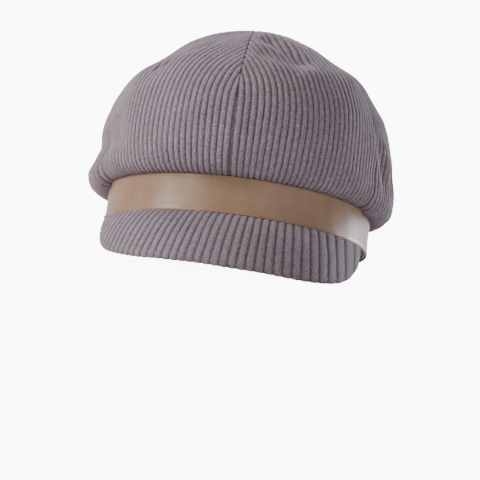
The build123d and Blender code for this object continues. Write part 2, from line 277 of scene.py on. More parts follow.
def shell(name, outer, inner, body, replaces, material, fields=None):
    """Closed sheet from an outer and an inner grid of the same size."""
    rows, columns = outer.shape[:2]
    count = rows * columns
    index = np.arange(count).reshape(rows, columns)
    border = np.concatenate([index[0, :-1], index[:-1, -1], index[-1, :0:-1], index[:0:-1, 0]])
    following = np.roll(border, -1)
    wall = np.stack([border, border + count, following + count, following], -1)
    faces = np.concatenate([grid_faces(rows, columns), grid_faces(rows, columns, count, True), wall])
    points = np.concatenate([outer.reshape(-1, 3), inner.reshape(-1, 3)])
    doubled = {key: np.concatenate([values.ravel()] * 2) for key, values in (fields or {}).items()}
    return make_mesh(name, points, faces, body, replaces, material, doubled)


def tube(name, grid, body, replaces, material, fields=None):
    """Closed piece from a grid whose columns run round its section; both ends are capped."""
    rows, columns = grid.shape[:2]
    faces = grid_faces(rows, columns, wrap=True).tolist()
    faces.append(list(range(columns))[::-1])
    faces.append(list(range((rows - 1) * columns, rows * columns)))
    return make_mesh(name, grid, faces, body, replaces, material, fields)


# Materials


class Nodes:
    """Short way to build a material's node tree."""

    def __init__(self, name):
        self.material = bpy.data.materials.new(name)
        self.material.use_nodes = True
        self.tree = self.material.node_tree
        self.shader = self.tree.nodes["Principled BSDF"]

    def add(self, kind, inputs=None, **settings):
        """Adds a node whose inputs are linked sockets or plain values."""
        node = self.tree.nodes.new(kind)
        for key, value in settings.items():
            setattr(node, key, value)
        for key, value in (inputs or {}).items():
            if isinstance(value, bpy.types.NodeSocket):
                self.tree.links.new(value, node.inputs[key])
            else:
                node.inputs[key].default_value = value
        return node

    def set(self, **inputs):
        """Sets inputs of the shader, named with underscores for spaces."""
        for key, value in inputs.items():
            socket = self.shader.inputs[key.replace("_", " ")]
            if isinstance(value, bpy.types.NodeSocket):
                self.tree.links.new(value, socket)
            else:
                socket.default_value = value

    def place(self):
        """Object coordinates in metres."""
        return self.add("ShaderNodeTexCoord").outputs["Object"]

    def noise(self, vector, scale, detail=3.0, rough=0.5):
        inputs = {"Vector": vector, "Scale": scale, "Detail": detail, "Roughness": rough}
        return self.add("ShaderNodeTexNoise", inputs).outputs["Fac"]

    def wave(self, vector, scale, distortion, direction):
        inputs = {"Vector": vector, "Scale": scale, "Distortion": distortion}
        return self.add("ShaderNodeTexWave", inputs, bands_direction=direction).outputs["Fac"]

    def ramp(self, value, low, high, dark, light):
        """Colour or number mix from dark to light as value passes from low to high."""
        node = self.add("ShaderNodeValToRGB", {"Fac": value})
        first, last = node.color_ramp.elements
        first.position, last.position = low, high
        first.color, last.color = dark, light
        return node.outputs["Color"]

    def mix(self, share, first, second, blend="MIX"):
        """Colour blended from two others."""
        inputs = {"Factor": share, "A": first, "B": second}
        node = self.add("ShaderNodeMix", data_type="RGBA", blend_type=blend)
        sockets = {"Factor": node.inputs[0], "A": node.inputs[6], "B": node.inputs[7]}
        for key, value in inputs.items():
            if isinstance(value, bpy.types.NodeSocket):
                self.tree.links.new(value, sockets[key])
            else:
                sockets[key].default_value = value
        return node.outputs[2]

    def maths(self, operation, first, second=0.0):
        """Number worked out from one or two others."""
        node = self.add("ShaderNodeMath", operation=operation)
        for socket, value in zip(node.inputs, (first, second)):
            if isinstance(value, bpy.types.NodeSocket):
                self.tree.links.new(value, socket)
            else:
                socket.default_value = value
        return node.outputs[0]

    def field(self, name):
        """A number stored on the mesh's points."""
        return self.add("ShaderNodeAttribute", attribute_name=name).outputs["Fac"]

    def bump(self, height, distance, strength=1.0):
        inputs = {"Height": height, "Distance": distance, "Strength": strength}
        return self.add("ShaderNodeBump", inputs).outputs["Normal"]


def grey(value):
    """Opaque grey colour."""
    return (value, value, value, 1.0)


def corduroy_material():
    """Cut pile: grooves painted dark as shade under paler crests, tufts across each wale and a soft sheen."""
    nodes = Nodes("corduroy")
    at = nodes.place()
    pile = nodes.field("pile")
    tufts = nodes.noise(at, 1350.0, 3.0, 0.7)
    clumps = nodes.noise(at, 650.0, 2.0, 0.6)
    cloud = nodes.noise(at, 28.0, 3.0, 0.5)
    # Painted shade: the colour darkens from the crests into the grooves, and further where the pile field
    # carries seam, foot and visor shade.
    base = nodes.ramp(pile, 0.0, 0.8, (0.048, 0.036, 0.043, 1), (0.258, 0.199, 0.230, 1))
    speckle = nodes.ramp(tufts, 0.32, 0.68, grey(0.4), grey(1.48))
    patchy = nodes.ramp(clumps, 0.3, 0.7, grey(0.86), grey(1.12))
    faded = nodes.ramp(cloud, 0.3, 0.7, grey(0.92), grey(1.08))
    colour = nodes.mix(1.0, base, speckle, "MULTIPLY")
    colour = nodes.mix(1.0, colour, patchy, "MULTIPLY")
    colour = nodes.mix(1.0, colour, faded, "MULTIPLY")
    height = nodes.maths("ADD", nodes.maths("MULTIPLY", tufts, 0.6), nodes.maths("MULTIPLY", clumps, 0.35))
    nodes.set(Base_Color=colour, Roughness=0.95, Normal=nodes.bump(height, 0.0006, 1.0))
    nodes.set(Sheen_Weight=0.3, Sheen_Roughness=0.45, Sheen_Tint=(0.85, 0.78, 0.84, 1))
    nodes.set(Specular_IOR_Level=0.15)
    return nodes.material


def leather_material():
    """Smooth finished leather: faint grain, pores and soft mottling, with a painted highlight along its
    edges.
    """
    nodes = Nodes("brown_leather")
    at = nodes.place()
    mottling = nodes.noise(at, 60.0, 4.0, 0.55)
    grain = nodes.add("ShaderNodeTexVoronoi", {"Vector": at, "Scale": 1400.0}).outputs["Distance"]
    pores = nodes.noise(at, 3200.0, 2.0, 0.5)
    base = nodes.ramp(mottling, 0.3, 0.72, (0.252, 0.144, 0.088, 1), (0.312, 0.189, 0.121, 1))
    # Painted highlight: lighter colour along the band's lower edge, and through the same field along the
    # lap's edges.
    painted_edge_light = nodes.ramp(nodes.field("edge"), 0.2, 1.0, grey(1.0), (1.12, 1.1, 1.08, 1))
    colour = nodes.mix(1.0, base, painted_edge_light, "MULTIPLY")
    height = nodes.maths("ADD", grain, nodes.maths("MULTIPLY", pores, 0.5))
    rough = nodes.ramp(mottling, 0.3, 0.7, grey(0.29), grey(0.37))
    nodes.set(Base_Color=colour, Roughness=rough, Normal=nodes.bump(height, 0.00012, 0.6))
    nodes.set(Specular_IOR_Level=0.36, Coat_Weight=0.1, Coat_Roughness=0.25)
    return nodes.material


def woven_material(name, dark, light, thread, sheen, rough):
    """Plain woven cloth whose threads are thread metres apart."""
    nodes = Nodes(name)
    at = nodes.place()
    scale = 2 * math.pi / thread / 20
    weave = nodes.maths("MULTIPLY", nodes.wave(at, scale, 0.6, "X"), nodes.wave(at, scale, 0.6, "Z"))
    cloud = nodes.noise(at, 45.0, 3.0, 0.5)
    mixed = nodes.maths("ADD", nodes.maths("MULTIPLY", weave, 0.6), nodes.maths("MULTIPLY", cloud, 0.5))
    colour = nodes.ramp(mixed, 0.1, 0.8, dark, light)
    nodes.set(Base_Color=colour, Roughness=rough, Normal=nodes.bump(weave, thread * 0.25, 0.6))
    nodes.set(Sheen_Weight=sheen, Specular_IOR_Level=0.3)
    return nodes.material


def thread_material(name, colour):
    """Twisted sewing thread."""
    nodes = Nodes(name)
    at = nodes.place()
    twist = nodes.wave(at, 900.0, 2.0, "DIAGONAL")
    shade = nodes.ramp(twist, 0.0, 1.0, grey(0.6), grey(1.15))
    nodes.set(Base_Color=nodes.mix(1.0, colour, shade, "MULTIPLY"), Roughness=0.7)
    nodes.set(Normal=nodes.bump(twist, 0.0001, 0.6), Sheen_Weight=0.3)
    return nodes.material


def metal_material():
    """Pressed steel with fine scratches."""
    nodes = Nodes("button_metal")
    at = nodes.place()
    scratches = nodes.noise(at, 900.0, 6.0, 0.7)
    nodes.set(Base_Color=nodes.ramp(scratches, 0.3, 0.7, grey(0.42), grey(0.6)), Metallic=1.0)
    nodes.set(Roughness=nodes.ramp(scratches, 0.3, 0.7, grey(0.25), grey(0.45)))
    return nodes.material


def board_material(name, dark, light):
    """Pressed fibre board or buckram."""
    nodes = Nodes(name)
    at = nodes.place()
    fibres = nodes.noise(at, 700.0, 6.0, 0.7)
    nodes.set(Base_Color=nodes.ramp(fibres, 0.3, 0.7, dark, light), Roughness=0.85)
    nodes.set(Normal=nodes.bump(fibres, 0.0001, 0.5))
    return nodes.material


# Corduroy shape


def wale_profile(across):
    """Height share of the pile, 0 in a groove and 1 on a crest, at distances across the wales."""
    phase = np.abs(np.mod(across / WALE_PITCH, 1.0) - 0.5) * 2
    return 1 - phase**WALE_POWER


def wale_columns(angle, radius):
    """Grid columns that an arc needs for its wales."""
    return int(math.radians(angle) * radius / WALE_PITCH * COLUMNS_PER_WALE)


def add_wales(grid, normals, across, strength=1.0):
    """Raises wales on a grid. Returns the raised grid and the pile share at each point."""
    pile = wale_profile(across + ripples(grid, WALE_DRIFT))
    wear = 1 + ripples(grid, WALE_WEAR)
    raised = grid + normals * (WALE_HEIGHT * strength * (pile - 1) * wear)[..., None]
    return raised, pile


# Crown


def widest_height(angle):
    """Height at which the crown is widest: higher at the front than at the sides and the back."""
    along = np.cos(np.radians(angle))
    end = np.where(along > 0, WIDEST_FRONT, WIDEST_BACK)
    return WIDEST_SIDE + (end - WIDEST_SIDE) * along**2


def crown_profile(angle, puff, turn, inset, foot_inset, foot):
    """Radius and height of the crown; turn is -90 at the band, 0 at the widest level and 90 at the top."""
    start = oval_radius(BAND_X, BAND_Y, angle) - foot_inset
    wide = oval_radius(CROWN_X, CROWN_Y, angle) + puff - inset
    level = widest_height(angle)
    c, s = np.cos(np.radians(turn)), np.abs(np.sin(np.radians(turn)))
    low_radius = start + (wide - start) * c ** (2 / FOLD_POWER)
    low_height = level - (level - foot) * s ** (2 / FOLD_POWER)
    high_radius = wide * c ** (2 / DOME_POWER)
    dimple = DIMPLE_DEPTH * bump(high_radius, 0, DIMPLE_RADIUS)
    high_height = level + (CROWN_TOP - inset - level) * s ** (2 / DOME_POWER) - dimple
    return np.where(turn < 0, low_radius, high_radius), np.where(turn < 0, low_height, high_height)


def even_turns(middle, inset, foot_inset, foot, rows):
    """Turns that space the rows evenly along the gore's centreline."""
    wide = oval_radius(CROWN_X, CROWN_Y, np.array(middle))
    top_turn = 90 - math.degrees((HUB_RADIUS / wide) ** (DOME_POWER / 2))
    fine = np.linspace(-FOOT_TURN, top_turn, PROFILE_STEPS)
    radius, height = crown_profile(middle, 0.0, fine, inset, foot_inset, foot)
    walked = np.concatenate([[0], np.cumsum(np.hypot(np.diff(radius), np.diff(height)))])
    return np.interp(np.linspace(0, walked[-1], rows), walked, fine)


CREASES = [  # start, end, width, depth of soft hollows in the worn crown, in rim-frame millimetres
    ((-30, -72, 118), (-60, -78, 92), 8.0, 1.4),
    ((-37, -80, 107), (-57, -77, 96), 3.8, 1.7),
    ((-26, -62, 124), (-34, -58, 122), 22.0, 3.6),
    ((14, -73, 121), (34, -80, 110), 8.0, 3.0),
    ((14, -90, 108), (34, -90, 102), 6.0, 1.1),
    ((-88, -40, 52), (-84, -52, 40), 7.0, 1.6),
    ((90, -38, 66), (95, -24, 42), 6.0, 2.0),
    ((94, -4, 80), (99, -10, 44), 7.0, 1.8),
    ((-90, 8, 84), (-97, 18, 44), 9.0, 1.8),
    ((78, 48, 104), (94, 40, 56), 9.0, 2.2),
    ((38, 96, 84), (58, 92, 48), 10.0, 2.0),
    ((-30, 98, 88), (-52, 98, 46), 10.0, 2.2),
    ((-70, 60, 92), (-82, 66, 50), 9.0, 1.8),
]


def crease_depth(points):
    """How far the creases push the cloth in at each point, with a raised lip along both sides."""
    total = np.zeros(points.shape[:-1])
    for start, end, width, depth in CREASES:
        start, end = np.array(start, float), np.array(end, float)
        span = end - start
        share = np.clip(((points - start) @ span) / (span @ span), 0, 1)
        distance = np.linalg.norm(points - start - share[..., None] * span, axis=-1)
        hollow, lips = bump(distance, 0, width), bump(distance, LIP_DISTANCE * width, width)
        total += depth * (hollow - LIP_SHARE * lips)
    return total


def crown_grid(first, last, rows, columns, inset, foot_inset, foot, puff_size):
    """Base surface of a gore, with the distance walked across it and its width, row by row."""
    share = np.linspace(0, 1, columns)[None, :]
    angle = first + (last - first) * share
    turn = even_turns((first + last) / 2, inset, foot_inset, foot, rows)[:, None]
    from_front = np.minimum(angle, 360 - angle)
    ridge = FRONT_RIDGE * np.exp(-from_front / FRONT_RIDGE_ANGLE)
    puff = (puff_size * np.sin(np.pi * share) + ridge) * np.cos(np.radians(turn)) ** 0.5
    radius, height = crown_profile(angle, puff, turn, inset, foot_inset, foot)
    grid = place(radius, np.broadcast_to(angle, radius.shape), height)
    steps = np.linalg.norm(np.diff(grid, axis=1), axis=-1)
    walked = np.concatenate([np.zeros((rows, 1)), np.cumsum(steps, axis=1)], axis=1)
    width = walked[:, -1:]
    return grid, walked, width


def beside_head(hump, across, height):
    """Push of one hump beside the head."""
    (on_right, on_left), heights, sides = hump
    push = on_right + (on_left - on_right) * smooth(across, *RIGHT_TO_LEFT)
    return push * bump(height, *heights) * smooth(np.abs(across), *sides)


def sag(grid, lobe_share):
    """Worn shape: full shoulders, a low lobe beside the head, ripples and a few soft creases."""
    normals = grid_normals(grid)
    across, height = grid[..., 0], grid[..., 2]
    fade = smooth(height, *RIPPLES_START) * (1 - smooth(height, *RIPPLES_END))
    push = (ripples(grid, CROWN_RIPPLES) - crease_depth(grid)) * fade
    push += beside_head(SHOULDER, across, height) + beside_head(WAIST, across, height)
    push += beside_head(LOBE, across, height) * lobe_share
    push += HIGH_LEFT * bump(across, *HIGH_LEFT_SIDE) * bump(height, *HIGH_LEFT_HEIGHTS)
    push -= (LOW_TOP + LOW_TOP_RIGHT * bump(across, *LOW_TOP_SIDE)) * bump(height, *LOW_TOP_HEIGHTS)
    gathers = ripples(grid * np.array(GATHERS_STRETCH), [GATHERS]) * smooth(np.abs(across), *GATHERS_SIDE)
    push += gathers * (1 - smooth(height, *GATHERS_END)) * smooth(height, *GATHERS_START)
    moved = grid + normals * push[..., None]
    moved[..., 2] -= beside_head(((0, LOBE_DROP), *LOBE[1:]), across, height) * lobe_share
    return moved


def pattern_width(width):
    """Width of the flat gore at each row; near the top its wales run off into the seams."""
    rows = len(width)
    level = np.linspace(0, 1, rows)[:, None]
    widest = width.max()
    swell = smooth(level, *SWELL_START) * (1 - smooth(level, *SWELL_END))
    taper = smooth(level, *RUN_OFF) + RUN_OFF_SWELL * swell
    return widest * (width / widest) ** taper


def build_gore(name, first, last, material):
    """Corduroy gore between two seams, whose edges roll into the seams."""
    at_front = name.startswith("front")
    columns = wale_columns(last - first, CROWN_Y)
    puff = FRONT_PUFF if at_front else SIDE_PUFF
    foot = BAND_HEIGHT + GORE_FOOT
    grid, walked, width = crown_grid(first, last, GORE_ROWS, columns, 0.0, GORE_TUCK, foot, puff)
    from_seam = np.minimum(walked, width - walked)
    grid = sag(grid, 0.0 if at_front else smooth(from_seam, 0, 9))
    roll = np.clip(1 - from_seam / SEAM_ROLL, 0, 1)
    normals = grid_normals(grid)
    centre = {"front_left": FRONT_GRAIN, "front_right": 1 - FRONT_GRAIN}.get(name, 0.5)
    across = (walked / width - centre) * pattern_width(width)
    raised, pile = add_wales(grid, normals, across)
    raised = raised - normals * (SEAM_ROLL_DEPTH * roll**2)[..., None]
    inner = grid - normals * (CORDUROY + WALE_HEIGHT / 2)
    above_foot = smooth(np.arange(GORE_ROWS)[:, None], 0.5, 6)
    # Painted shade in the seam rolls and along the foot, under the crown's fold.
    pile = pile * (1 - SEAM_ROLL_SHADE * roll**2) * (FOOT_SHADE + (1 - FOOT_SHADE) * above_foot)
    shell(f"gore_{name}", raised, inner, "cap", [f"crown_{name}"], material, {"pile": pile})


def build_lining(name, first, last, material):
    """Thin lining gore that follows the crown inside it, loosely puckered between its seams."""
    rows, columns = 60, 44
    foot = SWEATBAND_HEIGHT + LINING_LIFT
    grid, walked, width = crown_grid(first, last, rows, columns, LINING_INSET, LINING_TUCK, foot, LINING_PUFF)
    grid = sag(grid, 0.0)
    normals = grid_normals(grid)
    from_seam = np.minimum(walked, width - walked)
    pucker = ripples(grid, LINING_RIPPLES) * smooth(from_seam, 0, 6) - 0.8 * np.exp(-from_seam / SEAM_ROLL)
    fade = smooth(np.arange(rows)[:, None], 0, 5)
    outer = grid - normals * (0.9 + 0.5 * np.abs(pucker) * fade)[..., None]
    inner = outer - normals * LINING
    shell(f"lining_cloth_{name}", outer, inner, "cap", [f"lining_{name}"], material)


# Bands


def sweep_oval(section, wobble, count):
    """Sweeps section points (outward, up) round the band's oval. Returns rows round the opening."""
    angle = np.linspace(0, 360, count, endpoint=False)[:, None]
    radius = oval_radius(BAND_X, BAND_Y, angle) + section[None, :, 0]
    grid = place(radius, np.broadcast_to(angle, radius.shape), section[None, :, 1])
    outward = place(1.0, np.broadcast_to(angle, radius.shape), 0.0)
    return grid + outward * wobble(grid)[..., None]


def closed_ring(name, grid, replaces, material, fields=None):
    """Ring from a grid that closes both round the opening and round its section."""
    joined = np.concatenate([grid, grid[:1]])
    rows, columns = joined.shape[:2]
    faces = grid_faces(rows, columns, wrap=True)
    faces = np.where(faces >= (rows - 1) * columns, faces - (rows - 1) * columns, faces)
    return make_mesh(name, grid, faces, "cap", replaces, material, fields)


def strip_section(outer, thickness, foot, height, edge):
    """Rounded rectangle: points (outward, up), going up the outer face and down the inner one."""
    back, top = outer - thickness, foot + height
    turns = np.radians([0, 22.5, 45, 67.5, 90])
    rises = np.linspace(foot + edge, top - edge, 26)[1:-1]
    corners = (  # centre of each rounding, and the turn at which it starts
        (outer - edge, foot + edge, -math.pi / 2),
        (outer - edge, top - edge, 0.0),
        (back + edge, top - edge, math.pi / 2),
        (back + edge, foot + edge, math.pi),
    )
    low_out, high_out, high_in, low_in = (
        [(x + edge * math.cos(start + turn), y + edge * math.sin(start + turn)) for turn in turns]
        for x, y, start in corners
    )
    face_out = [(outer, rise) for rise in rises]
    face_in = [(back, rise) for rise in rises[::-2]]
    return np.array(low_out + face_out + high_out + high_in + face_in + low_in)


def build_leather_band(material):
    """The leather is pulled in a little at its middle and turned under at its lower edge."""
    section = strip_section(0.0, LEATHER, 0.0, BAND_HEIGHT + LEATHER_TUCK, LEATHER_EDGE)

    def wobble(grid):
        height = grid[..., 2] / BAND_HEIGHT
        cup = LEATHER_CUP * np.sin(np.pi * np.clip(height, 0, 1))
        turned = LEATHER_TURNED * bump(grid[..., 2], 1.2, 1.1)
        return turned - cup + ripples(grid, LEATHER_RIPPLES)

    grid = sweep_oval(section, wobble, 420)
    # Mask for the painted highlight along the lower edge.
    edge = np.exp(-grid[..., 2] / 0.9)
    closed_ring("leather_strip", grid, ["leather_band"], material, {"edge": edge})


def build_sweatband(material):
    """Cotton strip inside the opening, a little wavy above its sewn edge."""
    height = SWEATBAND_HEIGHT - SWEATBAND_LIFT
    section = strip_section(-SWEATBAND_INSET, SWEATBAND, SWEATBAND_LIFT, height, SWEATBAND_EDGE)

    def wobble(grid):
        return -np.abs(ripples(grid, SWEATBAND_RIPPLES)) * smooth(grid[..., 2], 2, 12)

    grid = sweep_oval(section, wobble, 300)
    closed_ring("sweatband_cloth", grid, ["sweatband"], material)


# Visor


def visor_taper(angle):
    """Share of the visor's size at an angle: 1 in front, next to nothing at its corners."""
    share = np.clip(1 - (np.abs(angle) / VISOR_HALF_ANGLE) ** 3, 0, 1) ** 0.8
    return np.maximum(VISOR_CORNER, share)


def visor_slope(angle):
    """How far the visor runs out and falls from its seam to its edge."""
    taper = visor_taper(angle)
    reach = VISOR_SIDE_REACH + (VISOR_REACH - VISOR_SIDE_REACH) * np.cos(np.radians(angle)) ** 2
    return reach * taper, VISOR_DROP * taper + VISOR_TOP


def visor_point(angle, along_share, depth):
    """Point on the visor at a share of its slope and a depth under its top face."""
    taper = visor_taper(angle)
    run, fall = visor_slope(angle)
    length = np.hypot(run, fall)
    from_corner = VISOR_HALF_ANGLE - np.abs(angle)
    depth = depth * (CORNER_THICKNESS + (1 - CORNER_THICKNESS) * smooth(from_corner, *CORNER_THINNING))
    rise = VISOR_BOW * taper * 4 * along_share * (1 - along_share) - depth
    inside = smooth(from_corner, *CLEARANCE_START)
    seam = oval_radius(BAND_X, BAND_Y, angle)
    radius = seam + VISOR_CLEARANCE * inside + run * along_share + rise * fall / length
    height = VISOR_TOP - fall * along_share + rise * run / length
    tucked = (1 - smooth(along_share, *SEAM_TUCK)) * (depth < VISOR_THICKNESS / 2)
    radius = radius * (1 - tucked) + (seam - SEAM_TUCK_DEPTH) * tucked
    height = height * (1 - tucked) - SEAM_TUCK_DROP * tucked
    points = place(radius, angle, height)
    points[..., 2] -= VISOR_SLANT * points[..., 0] * along_share
    return points


def visor_wales(grid, angle):
    """Distance across the wales, which fan out a little from the band to the visor's edge."""
    spread = np.linalg.norm(grid[..., :2], axis=-1) / oval_radius(BAND_X, BAND_Y, angle)
    off_grain = np.radians(VISOR_OFF_GRAIN)
    across = grid[..., 0] * np.cos(off_grain) - (grid[..., 1] + BAND_Y) * np.sin(off_grain)
    return across / spread**VISOR_FAN + WALE_PITCH / 2


def build_visor_cover(material):
    """Corduroy over the top of the visor, rolled round its edge and a little way under it."""
    columns = wale_columns(2 * VISOR_HALF_ANGLE, BAND_Y + VISOR_REACH)
    angle = np.linspace(VISOR_HALF_ANGLE, -VISOR_HALF_ANGLE, columns)[None, :]
    half = VISOR_THICKNESS / 2
    inset = np.minimum(half / np.hypot(*visor_slope(angle)), 0.45)
    top = np.linspace(SEAM_TUCK[0], 1, 70)[:-1, None] * (1 - inset)
    turn = np.radians(np.linspace(0, 180, 15))[:, None]
    under = (1 - inset) * np.linspace(1, COVER_END, 10)[1:, None]
    shares = np.concatenate([top, (1 - inset) + inset * np.sin(turn), under])
    flat = np.ones_like(angle)
    depths = np.concatenate([0 * top, half * (1 - np.cos(turn)) * flat, VISOR_THICKNESS + 0 * under])
    grid = visor_point(np.broadcast_to(angle, shares.shape), shares, depths)
    normals = grid_normals(grid)
    grid = grid + normals * (ripples(grid, COVER_RIPPLES) * smooth(shares, 0.0, 0.3))[..., None]
    strength = COVER_PILE + (ROLLED_PILE - COVER_PILE) * smooth(shares, 0.85, 1.0)
    raised, pile = add_wales(grid, normals, visor_wales(grid, angle), strength)
    thickness = COVER_CLOTH + (ROLLED_CLOTH - COVER_CLOTH) * smooth(shares, 0.9, 1.0)
    inner = grid - normals * thickness[..., None]
    # Painted shade: the visor's tone is darker all over its top, and darker still at its seam under the band.
    visor_shade = VISOR_SEAM_SHADE + (VISOR_TOP_SHADE - VISOR_SEAM_SHADE) * smooth(shares, SEAM_TUCK[0], 0.04)
    fields = {"pile": (PILE_FLOOR + (1 - PILE_FLOOR) * pile) * visor_shade}
    return shell("visor_cloth", raised, inner, "", ["visor_top_cover"], material, fields)


def build_visor_facing(material):
    """Corduroy facing under the visor, let in behind the rolled edge."""
    columns = wale_columns(2 * VISOR_HALF_ANGLE, BAND_Y + VISOR_REACH) // 2
    angle = np.linspace(FACING_MARGIN - VISOR_HALF_ANGLE, VISOR_HALF_ANGLE - FACING_MARGIN, columns)[None, :]
    shares = np.linspace(0.0, FACING_END, 60)[:, None] * np.ones_like(angle)
    grid = visor_point(np.broadcast_to(angle, shares.shape), shares, VISOR_THICKNESS + FACING_GAP)
    normals = grid_normals(grid)
    raised, pile = add_wales(grid, normals, visor_wales(grid, angle), FACING_PILE)
    inner = grid - normals * FACING
    fields = {"pile": pile}
    return shell("visor_under_cloth", raised, inner, "", ["visor_under_cover"], material, fields)


def build_visor_board(material):
    """Board between the visor's two cloths, cut short of the rolled edge."""
    angle = np.linspace(BOARD_MARGIN - VISOR_HALF_ANGLE, VISOR_HALF_ANGLE - BOARD_MARGIN, 120)[None, :]
    shares = np.linspace(*BOARD_SPAN, 40)[:, None] * np.ones_like(angle)
    low, high = (visor_point(np.broadcast_to(angle, shares.shape), shares, depth) for depth in BOARD_DEPTHS)
    return shell("visor_board_core", low, high, "", ["visor_board"], material)


# Small pieces


def build_button(material):
    """Covered button: cloth stretched over a low dome and gathered under its rim."""
    foot = CROWN_TOP - DIMPLE_DEPTH + BUTTON_STANDOFF
    turn = np.radians(np.linspace(0, 360, 96, endpoint=False))[None, :]
    over = np.linspace(0.02, 1, 30)[:, None]
    up = foot + BUTTON_HEIGHT * (1 - over**BUTTON_POWER)
    under, under_up = np.array(BUTTON_UNDERSIDE)[:, :1], foot + np.array(BUTTON_UNDERSIDE)[:, 1:]
    shares = np.concatenate([over, under])
    heights = np.concatenate([up, under_up]) * np.ones_like(turn)
    radius = BUTTON_RADIUS * shares
    flat = np.stack([radius * np.sin(turn), -radius * np.cos(turn), heights], -1)
    pile = wale_profile(flat[..., 0])
    flat[: len(over), :, 2] += BUTTON_WALES * (pile[: len(over)] - 1) * (1 - 0.5 * over)
    gather = 1 + GATHER_DEPTH * np.sin(turn * BUTTON_GATHERS) * smooth(shares, 0.8, 1.0)
    flat[..., :2] *= gather[..., None]
    tube("button_cloth", flat[::-1], "cap", ["button_cover"], material, {"pile": pile[::-1]})


def thread_mesh(name, stitches, radius, replaces, material):
    """Separate stitches (middle, along, outward), each a bowed thread whose ends dip into the cloth."""
    points, faces = [], []
    sides, rings = 7, 7
    for middle, along, outward in stitches:
        side = np.cross(along, outward)
        for share in np.linspace(-1, 1, rings):
            bow = (THREAD_BOW - share**2) * radius
            centre = middle + along * STITCH_LENGTH / 2 * share + outward * bow
            size = radius * (1 - THREAD_TAPER * share**4)
            for number in range(sides):
                turn = 2 * math.pi * number / sides
                points.append(centre + size * (math.cos(turn) * outward + math.sin(turn) * side))
        start = len(points) - sides * rings
        faces += grid_faces(rings, sides, start, wrap=True).tolist()
        faces.append([start + number for number in range(sides)][::-1])
        faces.append([start + (rings - 1) * sides + number for number in range(sides)])
    return make_mesh(name, np.array(points), faces, "cap", replaces, material)


def band_point(angle, inset, height):
    """Point inside the band, inset from the leather's outer face."""
    return place(oval_radius(BAND_X, BAND_Y, angle) - inset, angle, height)


def build_sweatband_stitches(material):
    """Ring of stitches round the foot of the sweatband."""
    inset = SWEATBAND_INSET + SWEATBAND + STITCH_GAP
    stitches = []
    for angle in np.linspace(0, 360, STITCH_COUNT, endpoint=False):
        middle = band_point(angle, inset, STITCH_HEIGHT)
        along = band_point(angle + 1, inset, STITCH_HEIGHT) - middle
        along = along / np.linalg.norm(along)
        stitches.append((middle, along, np.array([-along[1], along[0], 0.0])))
    thread_mesh("sweatband_thread", stitches, THREAD_RADIUS, ["sweatband_stitches"], material)


def build_lap_stitches(material):
    """Two upright rows through the lapped leather."""
    back, up = np.array([0, 1.0, 0]), np.array([0, 0, 1.0])
    places = itertools.product((-LAP_STITCH_SIDE, LAP_STITCH_SIDE), LAP_STITCH_HEIGHTS)
    outside = BAND_Y + LEATHER + LAP_STITCH_GAP
    stitches = [(np.array([side, outside, height]), up, back) for side, height in places]
    thread_mesh("band_thread", stitches, THREAD_RADIUS, ["band_lap_stitches"], material)


def build_lap(material):
    """End of the leather strip, lapped over its start at the back."""
    angle = np.linspace(180 - LAP_HALF_ANGLE, 180 + LAP_HALF_ANGLE, 30)[None, :]
    height = np.linspace(LAP_MARGIN, BAND_HEIGHT - LAP_MARGIN / 2, 24)[:, None]
    from_end = np.minimum(1, (LAP_HALF_ANGLE - np.abs(angle - 180)) / 0.4)
    from_edge = np.minimum(1, np.minimum(height, BAND_HEIGHT - height) / LEATHER_EDGE)
    thick = np.sqrt(np.clip(from_end * from_edge, 0, 1))
    base = oval_radius(BAND_X, BAND_Y, angle) - 0.3
    outer = place(base + 0.6 + 0.75 * LEATHER * thick, angle + 0 * height, height)
    inner = place(base + 0 * height, angle + 0 * height, height)
    # The edge field lightens the lap's thin edges through the leather's painted highlight ramp.
    shell("leather_lap", outer, inner, "cap", [], material, {"edge": 1 - thick**2})


def build_interlining(material):
    """Buckram strip that stiffens the band between leather and sweatband."""
    height = BAND_HEIGHT - 2 * BUCKRAM_MARGIN
    section = strip_section(-LEATHER - BUCKRAM_GAP, BUCKRAM, BUCKRAM_MARGIN, height, BUCKRAM_EDGE)
    grid = sweep_oval(section, lambda grid: ripples(grid, BUCKRAM_RIPPLES), 240)
    closed_ring("band_buckram", grid, ["band_interlining"], material)


def build_label():
    """Blank woven label, folded under at both ends."""
    inset = SWEATBAND_INSET + SWEATBAND + LABEL_GAP
    half_angle = math.degrees(LABEL_HALF_WIDTH / (BAND_Y - inset))
    share = np.linspace(-1, 1, 60)[None, :]
    up = np.linspace(0, 1, 28)[:, None]
    angle = 180 + half_angle * share + 0 * up
    folds = LABEL_FOLD * bump(np.abs(share), 0.93, 0.05)
    bulge = LABEL_CLOTH + folds + LABEL_BULGE * np.sin(np.pi * up) * (1 - share**2)
    base = oval_radius(BAND_X, BAND_Y, angle) - inset
    heights = LABEL_FOOT + LABEL_HEIGHT * up + 0 * share
    outer = place(base, angle, heights)
    inner = place(base - bulge, angle, heights)
    cloth = woven_material("woven_label", (0.42, 0.39, 0.34, 1), (0.66, 0.62, 0.56, 1), 0.0005, 0.3, 0.7)
    shell("label_cloth", outer, inner, "cap", ["back_label"], cloth)


def finish_hidden_parts():
    """Gives the button's metal parts, which keep their CAD shapes, their own finish."""
    steel = metal_material()
    for node in ("button_shell", "button_tack", "button_washer"):
        for metal_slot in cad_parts[node].material_slots:
            metal_slot.material = steel


# Stage and camera


